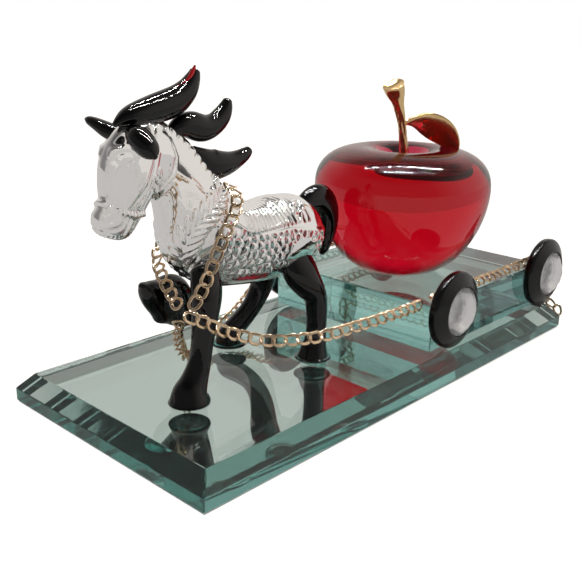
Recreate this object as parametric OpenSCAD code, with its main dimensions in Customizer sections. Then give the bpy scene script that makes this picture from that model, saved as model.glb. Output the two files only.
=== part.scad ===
// Crystal glass figurine: a glass horse draws a glass block cart that carries a crystal apple.
// Origin: middle of the base's underside. The horse faces -X, its left side is -Y, +Z is up.

/* [Base] */
// Length of the glass base
base_length = 145; // [135:1:160]
// Width of the glass base
base_width = 68; // [66:1:76]
// Thickness of the base with its mirror coating
base_thickness = 7.4; // [6:0.1:9]
// Width of the sloping bevel round the top
bevel_width = 3.35; // [2:0.05:4]
// Height of the sloping bevel
bevel_height = 3.75; // [2:0.05:4.5]
// Thickness of the silver film under the glass
silver_thickness = 0.1; // [0.05:0.05:0.2]
// Thickness of the paint that covers the silver
paint_thickness = 0.2; // [0.1:0.05:0.3]

/* [Cart] */
// Length of the glass block
block_length = 58.7; // [50:0.1:62]
// Width of the glass block
block_width = 54.7; // [50:0.1:56]
// Height of the glass block
block_height = 12.3; // [10:0.1:15]
// Diameter of a wheel
wheel_diameter = 20.6; // [16:0.1:22]
// Thickness of a wheel
wheel_width = 4.4; // [3.5:0.1:5]
// Diameter of the stone in a wheel
stone_diameter = 13; // [9:0.5:14]
// From the block's front face to the front wheels' centre
front_wheel_inset = 7.3; // [4:0.1:12]
// From the block's rear face to the rear wheels' centre
rear_wheel_inset = 2.0; // [0:0.1:12]

/* [Apple] */
// Diameter of the apple
apple_diameter = 50; // [40:1:52]
// Height of the apple without its stem
apple_height = 35.4; // [30:0.2:40]
// From the block's middle forward to the apple's middle
apple_forward = 7.5; // [-5:0.1:9]
// Diameter of the apple's flat foot
apple_foot = 16; // [12:0.5:22]

/* [Horse] */
// Sideways place of the horse's middle plane
horse_y = 2; // [-4:0.5:6]
// Width of the horse's barrel
barrel_width = 19; // [16:0.5:22]
// Depth of the horse's barrel
barrel_depth = 20; // [17:0.5:22]

/* [Chain] */
// Length of one chain link
link_length = 3.9; // [3.2:0.1:4.4]
// Width of one chain link
link_width = 3; // [2.6:0.1:3.2]
// Thickness of the chain's wire
wire = 0.5; // [0.4:0.05:0.6]

/* [Hidden] */

CLEAR = [0.86, 0.93, 0.92, 0.45];
BLACK = [0.02, 0.02, 0.03];
RED = [0.62, 0.02, 0.07, 0.85];
GOLD = [0.87, 0.66, 0.32];
SILVER = [0.78, 0.8, 0.8];
SEA = [0.55, 0.8, 0.76, 0.55];

plate_top = base_thickness;
glass_bottom = paint_thickness + silver_thickness;
arris = 0.4;
block_x0 = base_length / 2 - bevel_width - block_length;
block_x1 = block_x0 + block_length;
block_top = plate_top + block_height;
wheel_r = wheel_diameter / 2;
stone_r = stone_diameter / 2;
stone_seat = 1.5;
bond = 0.25;
hoof_bond_r = 3.6;
wheel_z = plate_top + wheel_r + 0.02;
wheel_y = block_width / 2 + bond;
wheel_x = [block_x0 + front_wheel_inset, block_x1 - rear_wheel_inset];
apple_x = (block_x0 + block_x1) / 2 - apple_forward;
apple_z = block_top + bond;
apple_r = apple_diameter / 2;
apple_rim_r = 0.42 * apple_r;
apple_waist = 0.69 * apple_height;
shoulder_bend = 0.85;
belly_bend = 1.1;
stem_offset = 0.6;
dimple = 5;
barrel_z = 37.4;

// ---- smooth lofted limbs -------------------------------------------------------------

function unit(v) = v / norm(v);

// One point of a smooth curve through the list p, at t from 0 to 1 between p[i] and p[i + 1]
function through(p, i, t) =
    let (a = p[max(i - 1, 0)], b = p[i], c = p[i + 1], d = p[min(i + 2, len(p) - 1)])
    0.5 * (2 * b + (c - a) * t + (2 * a - 5 * b + 4 * c - d) * t * t
        + (3 * b - a - 3 * c + d) * t * t * t);

// The list p with n points between neighbours, on a smooth curve
function smooth(p, n) = [
    for (i = [0 : len(p) - 2], k = [0 : n - 1]) through(p, i, k / n),
    p[len(p) - 1]
];

function place(s) = [s[0], s[1], s[2]];

function heading(q, i) =
    unit(place(q[min(i + 1, len(q) - 1)]) - place(q[max(i - 1, 0)]));

// Ring of a limb: an ellipse square to the direction t, deep by s[3] and wide by s[4]
function limb_ring(s, t, side, sides) =
    let (w = unit(side - (side * t) * t), d = cross(w, t))
    [for (k = [0 : sides - 1]) place(s) + s[4] * cos(360 * k / sides) * w
        + s[3] * sin(360 * k / sides) * d];

// Closed skin over rings of points, one after the other
module skin(rings, sides, points) {
    walls = [for (i = [0 : rings - 2], k = [0 : sides - 1])
        let (a = i * sides + k, b = i * sides + (k + 1) % sides)
        each [[a, b, b + sides], [a, b + sides, a + sides]]];
    start_cap = [for (k = [sides - 1 : -1 : 0]) k];
    end_cap = [for (k = [0 : sides - 1]) (rings - 1) * sides + k];
    polyhedron(points = points, faces = concat(walls, [start_cap], [end_cap]));
}

// A limb through stations of [x, y, z, half depth, half width]; foot is the last heading
module limb(stations, side = [0, 1, 0], sides = 12, steps = 3, foot = undef) {
    q = smooth(stations, steps);
    last = len(q) - 1;
    skin(last + 1, sides, [for (i = [0 : last])
        let (t = (i == last && foot != undef) ? foot : heading(q, i))
        each limb_ring(q[i], t, side, sides)]);
}

// Stations given in the horse's middle plane as [x, z, half depth, half width]
function midline(rows, dy = 0) = [for (r = rows) [r[0], horse_y + dy, r[1], r[2], r[3]]];

// ---- base ------------------------------------------------------------------------------

// Long bar along X with the base's bevelled section, width w
module bevelled_bar(w, l) {
    rotate([90, 0, 90]) translate([0, 0, -l / 2]) linear_extrude(l) polygon([
        [-w / 2 + arris, glass_bottom], [w / 2 - arris, glass_bottom],
        [w / 2, glass_bottom + arris], [w / 2, plate_top - bevel_height],
        [w / 2 - bevel_width, plate_top], [-w / 2 + bevel_width, plate_top],
        [-w / 2, plate_top - bevel_height], [-w / 2, glass_bottom + arris]
    ]);
}

module base_plate() {
    color(SEA) intersection() {
        bevelled_bar(base_width, base_length);
        rotate([0, 0, 90]) bevelled_bar(base_length, base_width);
    }
}

// A thin film under the glass from z0 up to z1
module film(z0, z1) {
    l = base_length - 2 * arris;
    w = base_width - 2 * arris;
    translate([-l / 2, -w / 2, z0]) cube([l, w, z1 - z0]);
}

module mirror_silver() {
    color(SILVER) film(paint_thickness, glass_bottom);
}

module mirror_paint() {
    color([0.35, 0.37, 0.37]) film(0, paint_thickness);
}

// ---- cart ------------------------------------------------------------------------------

module cart_block() {
    c = 0.4;
    color(SEA) intersection() {
        translate([block_x0, 0, 0]) rotate([90, 0, 90]) linear_extrude(block_length) polygon([
            [-block_width / 2, plate_top], [block_width / 2, plate_top],
            [block_width / 2, block_top - c], [block_width / 2 - c, block_top],
            [-block_width / 2 + c, block_top], [-block_width / 2, block_top - c]
        ]);
        translate([0, block_width / 2, 0]) rotate([90, 0, 0]) linear_extrude(block_width) polygon([
            [block_x0, plate_top], [block_x1, plate_top],
            [block_x1, block_top - c], [block_x1 - c, block_top],
            [block_x0 + c, block_top], [block_x0, block_top - c]
        ]);
    }
}

// Puts a wheel piece on the cart: x is its centre, side is -1 on the left and 1 on the right
module on_axle(x, side) {
    translate([x, side * block_width / 2, wheel_z]) rotate([-90 * side, 0, 0]) children();
}

// Black glass ring with a rounded tread, a conical face and a seat for the stone
module wheel_ring() {
    face = bond + wheel_width;
    seat = face - stone_seat;
    color(BLACK) rotate_extrude($fn = 96) polygon([
        [0, bond], [wheel_r - 0.9, bond], [wheel_r - 0.25, bond + 0.3], [wheel_r, bond + 0.8],
        [wheel_r, face - 2.2], [wheel_r - 0.2, face - 1.9], [wheel_r - 0.6, face - 1.6],
        [stone_r + 0.5, face], [stone_r + 0.1, face - 0.1], [stone_r + 0.1, seat], [0, seat]
    ]);
}

// Round brilliant stone with a flat foiled back, a girdle, a crown and a table
module wheel_stone() {
    seat = bond + wheel_width - stone_seat;
    color(CLEAR) rotate_extrude($fn = 96) polygon([
        [0, seat], [stone_r - 0.5, seat], [stone_r, seat + 1.1], [stone_r, seat + 1.5],
        [0.55 * stone_r, seat + 3.2], [0, seat + 3.2]
    ]);
}

// Clear adhesive between the block and the wheel
module wheel_bond() {
    color(CLEAR) cylinder(r = wheel_r - 3, h = bond, $fn = 64);
}

module wheel_front_left() { on_axle(wheel_x[0], -1) wheel_ring(); }
module wheel_front_right() { on_axle(wheel_x[0], 1) wheel_ring(); }
module wheel_rear_left() { on_axle(wheel_x[1], -1) wheel_ring(); }
module wheel_rear_right() { on_axle(wheel_x[1], 1) wheel_ring(); }
module stone_front_left() { on_axle(wheel_x[0], -1) wheel_stone(); }
module stone_front_right() { on_axle(wheel_x[0], 1) wheel_stone(); }
module stone_rear_left() { on_axle(wheel_x[1], -1) wheel_stone(); }
module stone_rear_right() { on_axle(wheel_x[1], 1) wheel_stone(); }

module bond_front_left() { on_axle(wheel_x[0], -1) wheel_bond(); }
module bond_front_right() { on_axle(wheel_x[0], 1) wheel_bond(); }
module bond_rear_left() { on_axle(wheel_x[1], -1) wheel_bond(); }
module bond_rear_right() { on_axle(wheel_x[1], 1) wheel_bond(); }

// ---- apple -----------------------------------------------------------------------------

// Right half of the apple's outline: foot, belly, shoulder and dimple. A bend of 1 is an
// ellipse, less is fuller and more is flatter.
function apple_outline() =
    let (
        foot_r = apple_foot / 2,
        rise = apple_height - apple_waist
    )
    concat(
        [[0, 0]],
        [for (a = [0 : 7.5 : 90])
            [foot_r + (apple_r - foot_r) * pow(sin(a), belly_bend),
                apple_waist * (1 - pow(cos(a), belly_bend))]],
        [for (a = [9 : 9 : 90])
            [apple_rim_r + (apple_r - apple_rim_r) * pow(cos(a), shoulder_bend),
                apple_waist + rise * pow(sin(a), shoulder_bend)]],
        [for (k = [1 : 7])
            let (r = apple_rim_r * (1 - k / 8))
            [r, apple_height - dimple * (1 + cos(180 * r / apple_rim_r)) / 2]],
        [[0, apple_height - dimple]]
    );

module apple_body() {
    color(RED) translate([apple_x, 0, apple_z]) rotate_extrude($fn = 120)
        polygon(apple_outline());
}

// Clear adhesive under the apple
module apple_bond() {
    color(CLEAR) translate([apple_x, 0, block_top])
        cylinder(r = apple_foot / 2, h = bond, $fn = 64);
}

stem_foot = apple_z + apple_height - dimple;

// Cast gold-coloured stem with a flared, sloping end
module apple_stem() {
    x = apple_x + stem_offset;
    color(GOLD) difference() {
        limb([
            [x + 0.4, 0, stem_foot - 2, 2.2, 2.2], [x + 0.2, 0, stem_foot + 1, 1.7, 1.7],
            [x - 1.2, 0, stem_foot + 6, 1.15, 1.15], [x - 2.6, 0, stem_foot + 12, 1.15, 1.15],
            [x - 4.4, 0, stem_foot + 16.5, 1.5, 1.5], [x - 6.6, 0, stem_foot + 20.5, 2.6, 2.5],
            [x - 7.4, 0, stem_foot + 22, 3.0, 2.9]
        ], sides = 14, foot = unit([-0.6, 0, 1]));
        translate([apple_x, 0, apple_z]) rotate_extrude($fn = 120) polygon(apple_outline());
    }
}

// Curved metal leaf that springs from the stem and droops over the apple's shoulder
module apple_leaf() {
    x = apple_x + stem_offset - 2.2;
    z = stem_foot + 10.6;
    reach = unit([1, -0.7, 0]);
    rows = [[1.6, 1.1, 0.5, 0.7], [3, 1.4, 0.5, 1.5], [6.2, 1.1, 0.5, 3.2], [9.6, -0.2, 0.5, 4.0],
        [12.6, -2.2, 0.5, 3.8], [14.8, -4.6, 0.45, 2.8], [16.0, -6.6, 0.4, 1.5],
        [16.4, -7.6, 0.3, 0.4]];
    color(GOLD) limb([for (r = rows) [x + r[0] * reach[0], r[0] * reach[1], z + r[1], r[2], r[3]]],
        side = [0.29, 0.3, -0.91], sides = 10);
}

// ---- horse -----------------------------------------------------------------------------

// Sections of the body from the rump forward, up the neck, over the poll and down to the chin.
// Each is [x, z] of its lowest point, [x, z] of its highest point, and its half width.
// From the neck to the head the sections fan out round the throat.
barrel_low = barrel_z - barrel_depth / 2;
barrel_high = barrel_z + barrel_depth / 2;
barrel_half = barrel_width / 2;
body_rows = [
    [-5.0, 37.8, -5.0, 38.8, 0.6],
    [-6.0, 33.4, -5.8, 43.0, 5.2],
    [-9.8, 29.8, -9.2, 46.4, 8.6],
    [-15.4, barrel_low + 0.6, -14.6, barrel_high + 0.4, barrel_half],
    [-24, barrel_low + 0.2, -23.6, barrel_high - 0.4, barrel_half],
    [-32.6, barrel_low + 1, -32.0, barrel_high + 1.4, barrel_half - 0.2],
    [-42.4, 30.4, -34.4, 50.2, barrel_half - 0.9],
    [-49.6, 36.4, -35.8, 52.0, 7.8],
    [-52.6, 43.4, -38.0, 54.8, 6.4],
    [-53.6, 48.6, -42.0, 59.6, 5.2],
    [-54.4, 51.4, -46.4, 64.4, 4.7],
    [-55.2, 52.2, -51.0, 67.6, 4.6],
    [-55.9, 52.2, -56.0, 69.0, 4.8],
    [-56.5, 51.6, -60.6, 68.4, 5.1],
    [-57.1, 50.8, -64.4, 65.6, 5.3],
    [-57.8, 49.9, -66.6, 61.6, 5.2],
    [-58.6, 48.8, -67.2, 57.0, 4.7],
    [-59.6, 47.6, -67.2, 53.4, 4.3],
    [-60.8, 46.4, -68.8, 50.8, 4.5],
    [-62.6, 45.4, -69.0, 48.0, 4.3],
    [-64.6, 45.1, -67.8, 46.3, 2.9],
    [-66.0, 45.3, -66.5, 45.6, 0.6]
];

function body_ring(r, sides) =
    let (mid = [(r[0] + r[2]) / 2, (r[1] + r[3]) / 2], up = [r[2], r[3]] - mid)
    [for (k = [0 : sides - 1])
        [mid[0] + up[0] * sin(360 * k / sides), horse_y + r[4] * cos(360 * k / sides),
            mid[1] + up[1] * sin(360 * k / sides)]];

module horse_body() {
    sides = 24;
    q = smooth(body_rows, 2);
    color(CLEAR) skin(len(q), sides, [for (r = q) each body_ring(r, sides)]);
}

// Black glass drawn on to the body: a limb with the body's own shape taken out of it
module fused(stations, side = [0, 1, 0], sides = 12, steps = 3, foot = undef) {
    color(BLACK) difference() {
        limb(stations, side, sides, steps, foot);
        horse_body();
    }
}

hoof_z = plate_top + bond;
down = [0, 0, -1];

module foreleg_left() {
    y = horse_y - 7.2;
    fused([
        [-45.6, y + 1.2, 35.5, 3.6, 2.6], [-46.2, y, 31.0, 4.0, 3.0], [-47.4, y - 0.6, 25.5, 3.1, 2.9],
        [-48.5, y - 1, 20.0, 2.5, 2.5], [-49.6, y - 1.2, 15.5, 2.6, 2.6],
        [-51.3, y - 1.3, 11.8, 3.2, 3.1], [-52.4, y - 1.3, 9.6, 4.1, 3.9],
        [-52.6, y - 1.3, hoof_z, 4.8, 4.5]
    ], foot = down);
}

module foreleg_right() {
    y = horse_y + 6;
    fused([
        [-53.4, y, 31.0, 1.0, 1.4], [-52.2, y + 0.2, 29.8, 2.4, 2.5],
        [-49.8, y + 0.5, 28.0, 4.0, 3.3], [-46.7, y + 0.8, 26.6, 6.0, 3.8],
        [-44.1, y + 1.1, 24.6, 5.8, 3.8], [-42.0, y + 1.3, 22.0, 4.2, 3.4],
        [-40.5, y + 1.4, 20.5, 3.0, 3.0]
    ]);
}

module hindleg_left() {
    y = horse_y - 7.6;
    fused([
        [-17.0, y + 1.6, 35.0, 4.6, 2.4], [-16.8, y - 0.2, 30.5, 5.0, 3.2],
        [-14.8, y - 1.4, 26.6, 4.0, 3.2], [-12.8, y - 2.2, 23.4, 3.0, 2.9],
        [-12.4, y - 2.5, 19.0, 2.7, 2.7], [-12.6, y - 2.6, 13.0, 2.6, 2.6],
        [-13.2, y - 2.6, 9.8, 3.4, 3.3], [-13.6, y - 2.6, hoof_z, 4.0, 3.9]
    ], foot = down);
}

module hindleg_right() {
    y = horse_y + 7.4;
    fused([
        [-12.0, y - 1.6, 34.0, 4.6, 2.4], [-12.4, y + 0.4, 29.5, 4.6, 3.2],
        [-11.6, y + 1.8, 25.0, 3.6, 3.2], [-12.2, y + 2.6, 20.6, 3.0, 2.9],
        [-14.8, y + 3.2, 16.0, 2.6, 2.6], [-18.6, y + 3.6, 12.6, 2.7, 2.7],
        [-21.4, y + 3.8, 10.6, 2.9, 2.9], [-22.6, y + 3.8, 9.2, 3.3, 3.2],
        [-22.7, y + 3.8, hoof_z, 3.6, 3.4]
    ], foot = down);
}

// Clear adhesive under a hoof
module hoof_bond(x, y) {
    color(CLEAR) translate([x, y, plate_top]) cylinder(r = hoof_bond_r, h = bond, $fn = 48);
}

module hoof_bond_front() { hoof_bond(-52.8, horse_y - 8.5); }
module hoof_bond_hind_left() { hoof_bond(-13.6, horse_y - 10.2); }
module hoof_bond_hind_right() { hoof_bond(-22.7, horse_y + 11.2); }

module tail() {
    fused(midline([
        [-8.5, 42.6, 2.2, 2.0], [-5.6, 44.2, 3.4, 2.5], [-2.2, 44.6, 4.2, 2.8],
        [0.5, 43.0, 4.3, 2.9], [2.1, 40.0, 3.7, 2.8], [2.4, 36.4, 2.9, 2.5],
        [1.8, 33.2, 2.1, 2.0], [1.0, 30.7, 1.4, 1.4], [0.7, 29.8, 0.8, 0.8]
    ]));
}

module ear_left() {
    y = horse_y;
    fused([
        [-60.6, y - 2.6, 66.4, 2.0, 1.8], [-61.0, y - 4.6, 65.8, 2.5, 2.3],
        [-61.2, y - 6.8, 64.6, 2.5, 2.3], [-61.2, y - 8.6, 63.4, 2.0, 1.8],
        [-61.2, y - 9.8, 62.6, 0.6, 0.6]
    ], side = [0, 0, 1], sides = 10);
}

module ear_right() {
    y = horse_y;
    fused([
        [-61.0, y + 2.4, 65.6, 1.9, 1.7], [-61.6, y + 4.6, 66.2, 2.1, 1.7],
        [-62.3, y + 7.0, 67.2, 1.8, 1.3], [-63.0, y + 9.2, 68.0, 1.2, 0.9],
        [-63.3, y + 10.0, 68.2, 0.4, 0.4]
    ], side = [0, 0, 1], sides = 10);
}

module mane_forelock() {
    fused(midline([
        [-63.4, 68.0, 0.5, 0.6], [-61.9, 68.7, 1.2, 1.6], [-60.0, 69.3, 2.0, 2.5],
        [-57.0, 69.9, 2.6, 2.9], [-52.4, 70.7, 3.1, 3.0], [-48.2, 71.8, 3.1, 2.8],
        [-45.0, 73.8, 2.5, 2.4], [-43.3, 76.0, 1.8, 1.7], [-42.6, 77.5, 1.2, 1.2]
    ]));
}

module mane_upper() {
    fused(midline([
        [-49.0, 65.8, 1.3, 1.5], [-47.0, 66.5, 2.2, 2.3],
        [-44.0, 66.6, 3.0, 2.6], [-40.8, 65.6, 3.0, 2.6],
        [-37.4, 66.2, 2.5, 2.3], [-35.0, 68.0, 2.2, 2.0], [-33.8, 69.8, 1.6, 1.6],
        [-33.3, 71.0, 1.1, 1.1]
    ]));
}

module mane_lower() {
    fused(midline([
        [-43.4, 61.2, 1.0, 1.0], [-41.2, 59.4, 2.3, 1.9], [-38.6, 57.6, 3.5, 2.4],
        [-35.8, 57.2, 3.2, 2.5], [-32.6, 57.4, 2.5, 2.2], [-29.8, 58.1, 1.9, 1.8],
        [-27.8, 58.9, 1.5, 1.5], [-26.8, 59.5, 1.1, 1.1]
    ]));
}

// Thread of red glass that lies along the forelock's crest
module mane_red_thread() {
    color([0.75, 0.03, 0.05]) difference() {
        limb(midline([
            [-50.4, 73.8, 0.3, 0.3], [-48.4, 74.5, 0.35, 0.35], [-46.6, 75.1, 0.4, 0.4],
            [-45.0, 76.2, 0.45, 0.45], [-43.9, 77.6, 0.5, 0.5], [-43.2, 78.8, 0.25, 0.25]
        ], -0.8), sides = 8);
        mane_forelock();
    }
}

// ---- chain -----------------------------------------------------------------------------

link_pitch = link_length - 2 * wire - 0.08;

// One oval link in the XY plane, long in X
module link() {
    r = (link_width - wire) / 2;
    s = (link_length - link_width) / 2;
    for (e = [-1, 1]) {
        translate([e * s, 0, 0]) rotate([0, 0, -90 * e])
            rotate_extrude(angle = 180, $fn = 32) translate([r, 0]) circle(r = wire / 2, $fn = 20);
        translate([-s, e * r, 0]) rotate([0, 90, 0]) cylinder(r = wire / 2, h = 2 * s, $fn = 20);
    }
}

// Length of the polyline q up to each of its points
function run_lengths(q) = [
    for (i = 0, s = 0; i < len(q); i = i + 1,
        s = s + (i < len(q) ? norm(q[i] - q[i - 1]) : 0)) s
];

// Point at the distance s along the polyline q, whose running lengths are l
function along(q, l, s, i = 0) =
    (i >= len(q) - 2 || l[i + 1] >= s)
        ? q[i] + (q[i + 1] - q[i]) * (s - l[i]) / (l[i + 1] - l[i])
        : along(q, l, s, i + 1);

// Links hooked into each other along a smooth curve through the route's points.
// Every second link is a quarter turn on from its neighbours.
module chain(route) {
    q = smooth(route, 8);
    l = run_lengths(q);
    total = l[len(l) - 1];
    count = floor(total / link_pitch);
    for (i = [0 : count - 1]) {
        s = (i + 0.5) * link_pitch;
        a = along(q, l, max(s - 0.8, 0));
        b = along(q, l, min(s + 0.8, total));
        t = unit(b - a);
        translate(along(q, l, s))
            rotate([0, -asin(t[2]), atan2(t[1], t[0])])
                rotate([45 + 90 * (i % 2), 0, 0]) link();
    }
}

// Routes, from the withers round the neck to the breast, and on to the wheels.
// The two strands cross at the breast: each neck strand goes on as the other side's trace.
neck_left = [
    [-34.4, 1, 52.8], [-35.8, -3.5, 51.3], [-38.3, -6.2, 48.7], [-42, -7.5, 45.3], [-44.9, -7.8, 41.2],
    [-47, -8, 37.8], [-49.4, -8.4, 34.4], [-51.8, -8.4, 31.4], [-53.4, -8, 29.6], [-54.4, -7.2, 28.2]
];
trace_right = [
    [-54.7, -6.2, 26.6], [-54, -4.4, 24.8], [-51.6, -1.6, 20.8], [-47.6, 2, 15.6], [-42.6, 6.4, 11.4],
    [-38, 10, 9.4], [-33, 13, 8.9], [-28.8, 15.6, 8.9], [-24.4, 18.2, 9.1], [-19, 19.6, 10],
    [-10, 22, 12.4], [-2, 24.2, 16], [4, 25.6, 19.4], [9, 26.3, 21.4]
];
neck_right = [
    [-34.8, 4.4, 52.6], [-36.6, 8.8, 49.9], [-39.6, 11.3, 46], [-43.4, 11.6, 42], [-47.2, 9.9, 38.6],
    [-50, 7, 36.7], [-52, 3.6, 35.4], [-52.9, 1, 33.8], [-53.7, -2, 32.1], [-54.5, -5, 30.6],
    [-55.6, -7, 29.8]
];
trace_left = [
    [-55.2, -8.6, 28.8], [-53.4, -9.8, 27.8], [-50.8, -10.6, 26.4], [-47, -11.4, 24], [-42.6, -12.8, 22],
    [-37.6, -15.4, 20.3], [-31.6, -19.4, 20.1], [-25, -22.4, 20.2], [-16, -24.4, 20.7],
    [-6, -25.8, 21], [4, -26.2, 21], [9.5, -26.1, 21]
];
rail_left = [[12, -26.1, 21.2], [28, -26.1, 21.2], [50, -26.1, 21.2], [67, -26.1, 21.2]];
rear = [
    [69.4, -26, 21.3], [70.9, -26, 19], [71.2, -26, 14], [72.3, -26.1, 10.6], [74, -26.6, 8],
    [75.3, -29, 6], [75.8, -31.6, 3.8], [75.6, -29, 2], [75, -23, 1.6], [74.6, -12, 1.6],
    [74.6, 0, 1.6], [74.6, 12, 1.6], [75, 23, 1.6], [75.6, 29, 2], [75.8, 31.6, 3.8],
    [75.3, 29, 6], [74, 26.6, 8], [72.3, 26.1, 10.6], [71.2, 26, 14], [70.9, 26, 19],
    [69.4, 26, 21.3]
];

module chain_neck_left() { color(GOLD) chain(neck_left); }
module chain_neck_right() { color(GOLD) chain(neck_right); }
module chain_trace_left() { color(GOLD) chain(trace_left); }
module chain_trace_right() { color(GOLD) chain(trace_right); }
module chain_rail_left() { color(GOLD) chain(rail_left); }
module chain_rail_right() { color(GOLD) mirror([0, 1, 0]) chain(rail_left); }
module chain_rear() { color(GOLD) chain(rear); }

// ---- assembly --------------------------------------------------------------------------

base_plate();
mirror_silver();
mirror_paint();
cart_block();
apple_body();
apple_bond();
apple_stem();
apple_leaf();
wheel_front_left();
wheel_front_right();
wheel_rear_left();
wheel_rear_right();
stone_front_left();
stone_front_right();
stone_rear_left();
stone_rear_right();
bond_front_left();
bond_front_right();
bond_rear_left();
bond_rear_right();
horse_body();
foreleg_left();
foreleg_right();
hindleg_left();
hindleg_right();
hoof_bond_front();
hoof_bond_hind_left();
hoof_bond_hind_right();
tail();
ear_left();
ear_right();
mane_forelock();
mane_upper();
mane_lower();
mane_red_thread();
chain_neck_left();
chain_neck_right();
chain_trace_left();
chain_trace_right();
chain_rail_left();
chain_rail_right();
chain_rear();
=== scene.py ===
import math

import bpy
import numpy as np
from mathutils import Matrix, Vector


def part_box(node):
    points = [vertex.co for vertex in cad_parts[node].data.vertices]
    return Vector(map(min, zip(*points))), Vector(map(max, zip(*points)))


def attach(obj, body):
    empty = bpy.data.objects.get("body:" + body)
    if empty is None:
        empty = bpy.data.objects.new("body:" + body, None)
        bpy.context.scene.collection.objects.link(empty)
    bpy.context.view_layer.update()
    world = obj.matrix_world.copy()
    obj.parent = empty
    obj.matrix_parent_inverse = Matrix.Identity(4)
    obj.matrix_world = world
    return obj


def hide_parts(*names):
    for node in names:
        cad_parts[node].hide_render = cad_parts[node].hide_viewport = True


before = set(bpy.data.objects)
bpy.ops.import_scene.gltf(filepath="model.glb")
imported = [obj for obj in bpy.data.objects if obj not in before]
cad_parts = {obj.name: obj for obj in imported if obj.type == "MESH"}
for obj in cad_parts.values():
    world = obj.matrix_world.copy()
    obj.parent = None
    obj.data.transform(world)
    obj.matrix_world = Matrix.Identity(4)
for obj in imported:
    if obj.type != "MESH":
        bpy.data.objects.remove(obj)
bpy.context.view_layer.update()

# Lengths in this script are millimetres. put() turns them into metres, Blender's unit.
MM = 0.001


def box(node):
    """Lowest and highest corner of a CAD node, in millimetres."""
    lo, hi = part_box(node)
    return np.array(lo) / MM, np.array(hi) / MM


# ---- camera ------------------------------------------------------------------------------

CAMERA_PLACE = (-158.9, -134.4, 88.0)
CAMERA_YAW = 42.78      # from +X towards +Y
CAMERA_PITCH = -18.15
CAMERA_ROLL = 1.32
CAMERA_LENS = 50.8


def heading_axes(yaw, pitch, roll):
    """Forward, right and up directions of a camera, from its angles in degrees."""
    yaw, pitch, roll = map(math.radians, (yaw, pitch, roll))
    forward = Vector((math.cos(yaw) * math.cos(pitch), math.sin(yaw) * math.cos(pitch), math.sin(pitch)))
    right = forward.cross(Vector((0, 0, 1))).normalized()
    up = right.cross(forward)
    tilted_right = right * math.cos(roll) + up * math.sin(roll)
    tilted_up = up * math.cos(roll) - right * math.sin(roll)
    return forward, tilted_right, tilted_up


def add_camera():
    data = bpy.data.cameras.new("camera")
    data.lens = CAMERA_LENS
    data.sensor_width = 36
    data.clip_start = 0.01
    data.clip_end = 50
    camera = bpy.data.objects.new("camera", data)
    bpy.context.scene.collection.objects.link(camera)
    forward, right, up = heading_axes(CAMERA_YAW, CAMERA_PITCH, CAMERA_ROLL)
    matrix = Matrix.Identity(4)
    for row in range(3):
        matrix[row][0] = right[row]
        matrix[row][1] = up[row]
        matrix[row][2] = -forward[row]
        matrix[row][3] = CAMERA_PLACE[row] * MM
    camera.matrix_world = matrix
    bpy.context.scene.camera = camera


add_camera()


# ---- materials ---------------------------------------------------------------------------

class Paint:
    """A node material under construction."""

    def __init__(self, name, **values):
        self.material = bpy.data.materials.new(name)
        self.material.use_nodes = True
        self.nodes = self.material.node_tree.nodes
        self.links = self.material.node_tree.links
        self.shader = self.nodes["Principled BSDF"]
        for key, value in values.items():
            self.shader.inputs[key.replace("_", " ")].default_value = value

    def add(self, kind, **values):
        node = self.nodes.new(kind)
        for key, value in values.items():
            node.inputs[key.replace("_", " ")].default_value = value
        return node

    def noise(self, scale, detail=3.0, rough=0.5):
        """Solid noise in object space; scale is in waves per metre."""
        where = self.nodes.new("ShaderNodeTexCoord")
        noise = self.add("ShaderNodeTexNoise", Scale=scale, Detail=detail, Roughness=rough)
        self.links.new(where.outputs["Object"], noise.inputs["Vector"])
        return noise.outputs["Fac"]

    def spread(self, fac, low, high):
        """A number between low and high as fac goes from 0.3 to 0.7."""
        node = self.nodes.new("ShaderNodeMapRange")
        node.inputs["From Min"].default_value = 0.3
        node.inputs["From Max"].default_value = 0.7
        node.inputs["To Min"].default_value = low
        node.inputs["To Max"].default_value = high
        self.links.new(fac, node.inputs["Value"])
        return node.outputs["Result"]

    def spread_full(self, fac, low, high):
        """A number between low and high as fac goes from 0 to 1."""
        node = self.nodes.new("ShaderNodeMapRange")
        node.inputs["To Min"].default_value = low
        node.inputs["To Max"].default_value = high
        self.links.new(fac, node.inputs["Value"])
        return node.outputs["Result"]

    def tint(self, fac, low, high):
        """A colour between low and high by fac."""
        node = self.nodes.new("ShaderNodeMix")
        node.data_type = "RGBA"
        node.inputs[6].default_value = (*low, 1)
        node.inputs[7].default_value = (*high, 1)
        self.links.new(fac, node.inputs[0])
        return node.outputs[2]

    def drive(self, socket, source):
        self.links.new(source, self.shader.inputs[socket])

    def bump(self, height, strength, distance):
        node = self.add("ShaderNodeBump", Strength=strength, Distance=distance)
        self.links.new(height, node.inputs["Height"])
        self.links.new(node.outputs["Normal"], self.shader.inputs["Normal"])

    def absorb(self, colour, density):
        """Coloured absorption inside the body; density is per metre."""
        node = self.add("ShaderNodeVolumeAbsorption", Color=(*colour, 1), Density=density)
        out = self.nodes["Material Output"]
        self.links.new(node.outputs["Volume"], out.inputs["Volume"])


def clear_glass(name, ior=1.5, colour=(1, 1, 1), rough=0.0):
    return Paint(name, Base_Color=(*colour, 1), Roughness=rough, IOR=ior, Transmission_Weight=1.0)


def sea_glass(name, tint, colour, density, clear):
    """Float glass that looks teal along a long way through it."""
    paint = clear_glass(name, 1.52, tint)
    paint.shader.inputs["Transmission Weight"].default_value = clear
    paint.absorb(colour, density)
    return paint.material


def horse_glass():
    paint = clear_glass("crystal_clear", 1.5, (0.99, 0.985, 0.985), 0.02)
    paint.bump(paint.noise(240, 2), 0.05, 0.0004)
    return paint.material


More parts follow.
